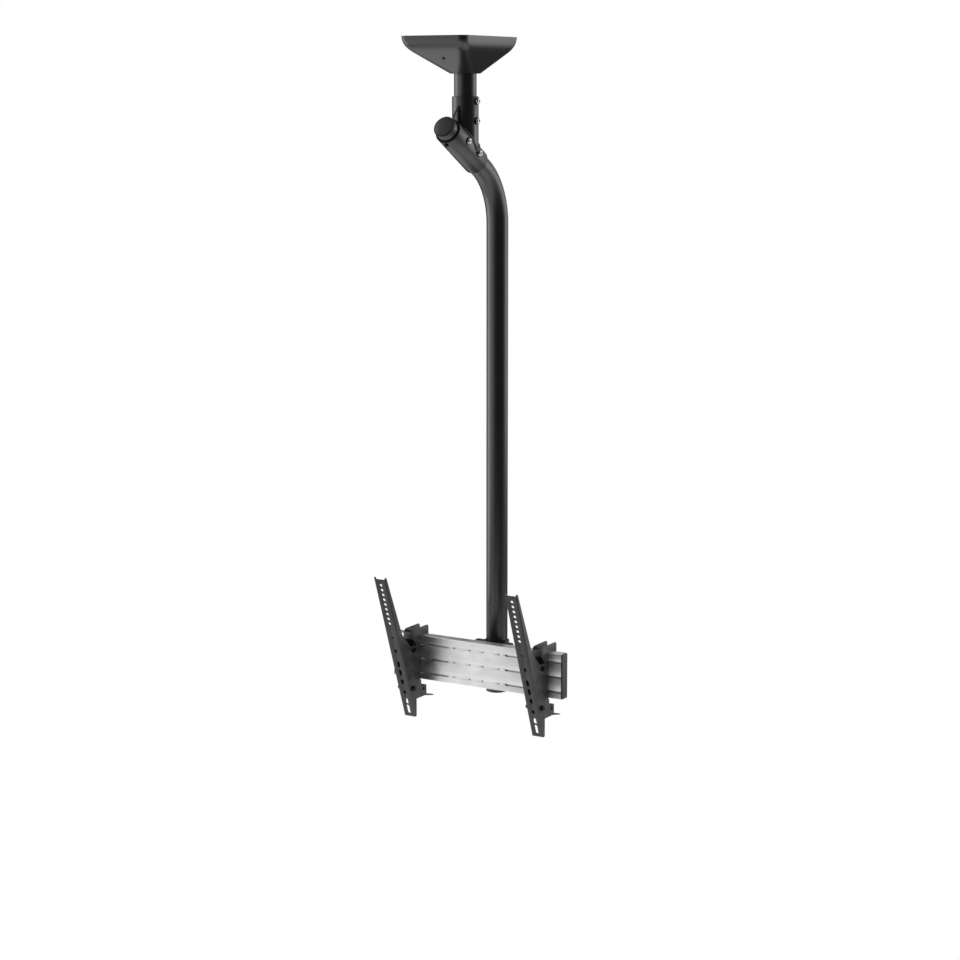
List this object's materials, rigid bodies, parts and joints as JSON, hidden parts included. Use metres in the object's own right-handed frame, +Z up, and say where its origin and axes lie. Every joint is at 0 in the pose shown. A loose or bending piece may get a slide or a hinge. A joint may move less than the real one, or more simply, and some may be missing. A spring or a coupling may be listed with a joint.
{
  "type": "tv ceiling mount",
  "caption": "Ceiling mount for a display: cover, stub, angled coupling, long offset pole, slotted rail and two tilting arms that hang on it.",
  "frame": {"origin": "on the stub tube's axis in the ceiling's plane, at the centre of the four ceiling slots", "axes": "+Z up, +X along the rail, -Y towards the side the arms face"},
  "size_m": [0.542, 0.3802, 1.8826],
  "materials": {
    "black_coat": "satin powder coat",
    "cover_black": "satin powder coat",
    "arm_black": "fine textured powder coat",
    "bright_steel": "zinc plated",
    "black_screw": "black oxide",
    "seal_black": "matte",
    "plug_black": "fine grain",
    "rail_silver": "fine brushed, clear anodised",
    "cap_grey": "fine grain",
    "housing_black": "fine grain"
  },
  "bodies": {
    "ceiling_fixing": {"ceiling_plate": "black_coat", "stub_tube": "black_coat", "stub_ribs": "black_coat", "cover": "cover_black", "cover_tabs": "black_coat", "cover_screws": "black_screw"},
    "swivel": {"coupling": "black_coat", "stub_clamp_screws": "bright_steel", "pole_clamp_screws": "bright_steel", "screw_washers": "bright_steel", "lock_screw": "black_screw", "mouth_ring": "seal_black", "bent_pole": "black_coat", "pole_top_plug": "plug_black", "pole_bottom_plug": "plug_black"},
    "carriage": {"clamp_bracket": "black_coat", "clamp_strap": "black_coat", "clamp_bolts": "bright_steel", "clamp_nuts": "bright_steel", "rail_bolts": "bright_steel", "rail": "rail_silver", "rail_end_cap_left": "cap_grey", "rail_end_cap_right": "cap_grey", "groove_strip_top": "rail_silver", "groove_strip_middle": "rail_silver", "groove_strip_bottom": "rail_silver", "strip_screws": "black_screw"},
    "left_hanger": {"hanger_left": "arm_black", "pivot_bolt_left": "black_screw", "stop_bolt_left": "black_screw", "latch_housing_left": "housing_black", "latch_rivet_left": "black_screw"},
    "left_arm": {"arm_left": "arm_black"},
    "left_latch": {"latch_left": "arm_black"},
    "right_hanger": {"hanger_right": "arm_black", "pivot_bolt_right": "black_screw", "stop_bolt_right": "black_screw", "latch_housing_right": "housing_black", "latch_rivet_right": "black_screw"},
    "right_arm": {"arm_right": "arm_black"},
    "right_latch": {"latch_right": "arm_black"}
  },
  "joints": [
    {"name": "pole_swivel", "type": "hinge", "parent": "ceiling_fixing", "child": "swivel", "pos_m": [0, 0, -0.19], "axis": [0, 0, 1], "continuous": true},
    {"name": "height_slide", "type": "slide", "parent": "swivel", "child": "carriage", "axis": [0, 0, 1], "range_m": [0, 1.1]},
    {"name": "left_hanger_slide", "type": "slide", "parent": "carriage", "child": "left_hanger", "axis": [1, 0, 0], "range_m": [-0.045, 0.12]},
    {"name": "left_tilt", "type": "hinge", "parent": "left_hanger", "child": "left_arm", "pos_m": [-0.1985, 0.0175, -1.6875], "axis": [1, 0, 0], "range_deg": [-20, 0]},
    {"name": "left_latch_pull", "type": "slide", "parent": "left_hanger", "child": "left_latch", "axis": [0, 0, 1], "range_m": [-0.006, 0], "stiffness_N_per_m": 1200, "springref_m": 0.002},
    {"name": "right_hanger_slide", "type": "slide", "parent": "carriage", "child": "right_hanger", "axis": [1, 0, 0], "range_m": [-0.13, 0.03]},
    {"name": "right_tilt", "type": "hinge", "parent": "right_hanger", "child": "right_arm", "pos_m": [0.2135, 0.0175, -1.6875], "axis": [1, 0, 0], "range_deg": [-20, 0]},
    {"name": "right_latch_pull", "type": "slide", "parent": "right_hanger", "child": "right_latch", "axis": [0, 0, 1], "range_m": [-0.006, 0], "stiffness_N_per_m": 1200, "springref_m": 0.002}
  ]
}
